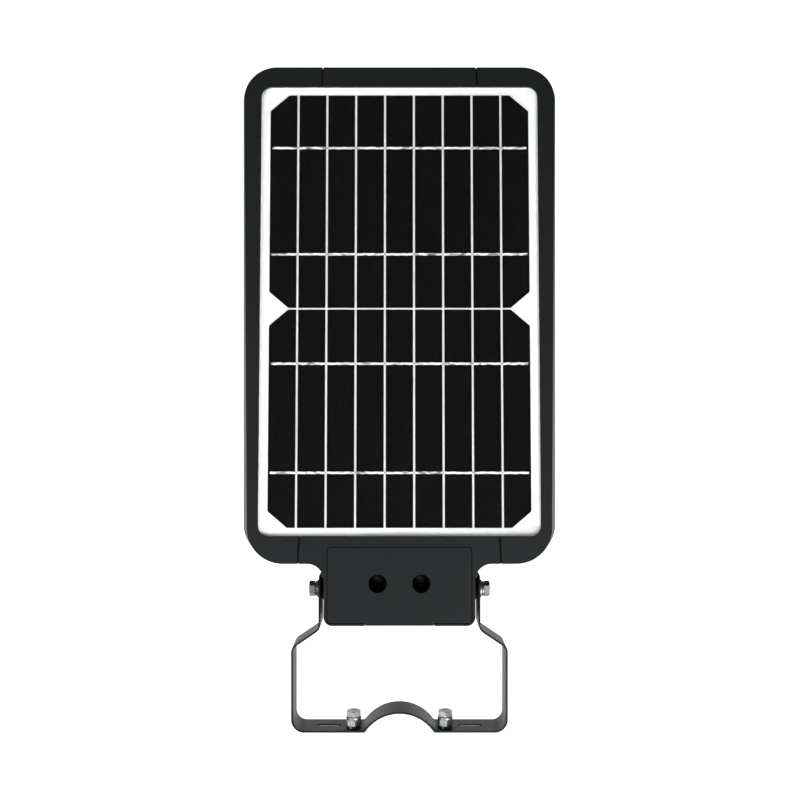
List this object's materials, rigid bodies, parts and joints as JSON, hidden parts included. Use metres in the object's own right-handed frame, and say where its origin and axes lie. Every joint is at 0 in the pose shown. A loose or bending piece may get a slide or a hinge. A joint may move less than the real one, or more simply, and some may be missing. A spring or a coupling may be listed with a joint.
{
  "type": "solar street lamp head",
  "caption": "All-in-one solar street lamp head with a sloped panel on a tapered spine and side wings, tilting in a bent-strip bracket with a half-round pole saddle.",
  "frame": {"origin": "on the pole axis at the middle of the bracket strip", "axes": "+Z is the panel side and runs up the pole, +Y runs along the lamp away from the pole, +X is to the lamp's right seen from above with the far end away"},
  "size_m": [0.2324, 0.4878, 0.0643],
  "materials": {
    "black_paint": "satin textured powder coat",
    "zinc": "bright zinc plate",
    "brass": "machined",
    "black_steel": "blackened screw steel",
    "nylon": "moulded nylon",
    "seal_rubber": "moulded silicone",
    "white_seal": "white silicone bead",
    "glass": "low-iron tempered",
    "cell": "textured silicon",
    "ribbon": "tinned copper ribbon",
    "white_film": "white rear film",
    "black_plastic": "moulded",
    "board": "solder mask",
    "white_board": "white solder mask on aluminium",
    "led": "phosphor",
    "lens": "moulded acrylic",
    "battery_wrap": "heat-shrink wrap",
    "nickel": "nickel strip",
    "red_wire": "wire insulation",
    "white_wire": "wire insulation",
    "white_plastic": "moulded",
    "dome": "milky polyethylene",
    "red_rubber": "moulded",
    "ferrite": "ferrite",
    "can": "drawn can"
  },
  "bodies": {
    "bracket": {"bracket": "black_paint", "clamp_bolts": "zinc", "clamp_collars": "zinc", "clamp_nuts": "zinc", "star_washers": "zinc"},
    "head": {"spine_housing": "black_paint", "left_rail": "black_paint", "right_rail": "black_paint", "neck_cover": "black_paint", "neck_gasket": "seal_rubber", "neck_screws": "black_steel", "pivot_bolts": "zinc", "pivot_springs": "zinc", "pivot_washers": "zinc", "pivot_bushes": "nylon", "pivot_inserts": "brass", "solar_glass": "glass", "cell_ribbons": "ribbon", "solar_cells": "cell", "encapsulant": "white_film", "backsheet": "white_film", "panel_seal": "white_seal", "junction_box": "black_plastic", "panel_leads": "red_wire", "led_boards": "white_board", "led_chips": "led", "left_lens": "lens", "right_lens": "lens", "lens_screws": "zinc", "led_leads": "white_wire", "battery_cells": "battery_wrap", "battery_tray": "black_plastic", "battery_straps": "nylon", "battery_links": "nickel", "battery_leads": "red_wire", "controller_board": "board", "controller_coil": "ferrite", "controller_caps": "can", "controller_plugs": "white_plastic", "battery_cover": "black_paint", "cover_seal": "seal_rubber", "cover_screws": "zinc", "rail_screws": "zinc", "pir_lens": "dome", "pir_sensor": "can", "button_ring": "black_plastic", "button_switch": "black_plastic", "light_pipe": "lens", "breather_vent": "black_plastic"},
    "button": {"power_button": "red_rubber"}
  },
  "joints": [
    {"name": "head_tilt", "type": "hinge", "parent": "bracket", "child": "head", "pos_m": [0, 0.1186, 0], "axis": [1, 0, 0], "range_deg": [-80, 80]},
    {"name": "power_press", "type": "slide", "parent": "head", "child": "button", "axis": [0, 0, 1], "range_m": [0, 0.0012], "stiffness_N_per_m": 600, "springref_m": -0.0006}
  ]
}
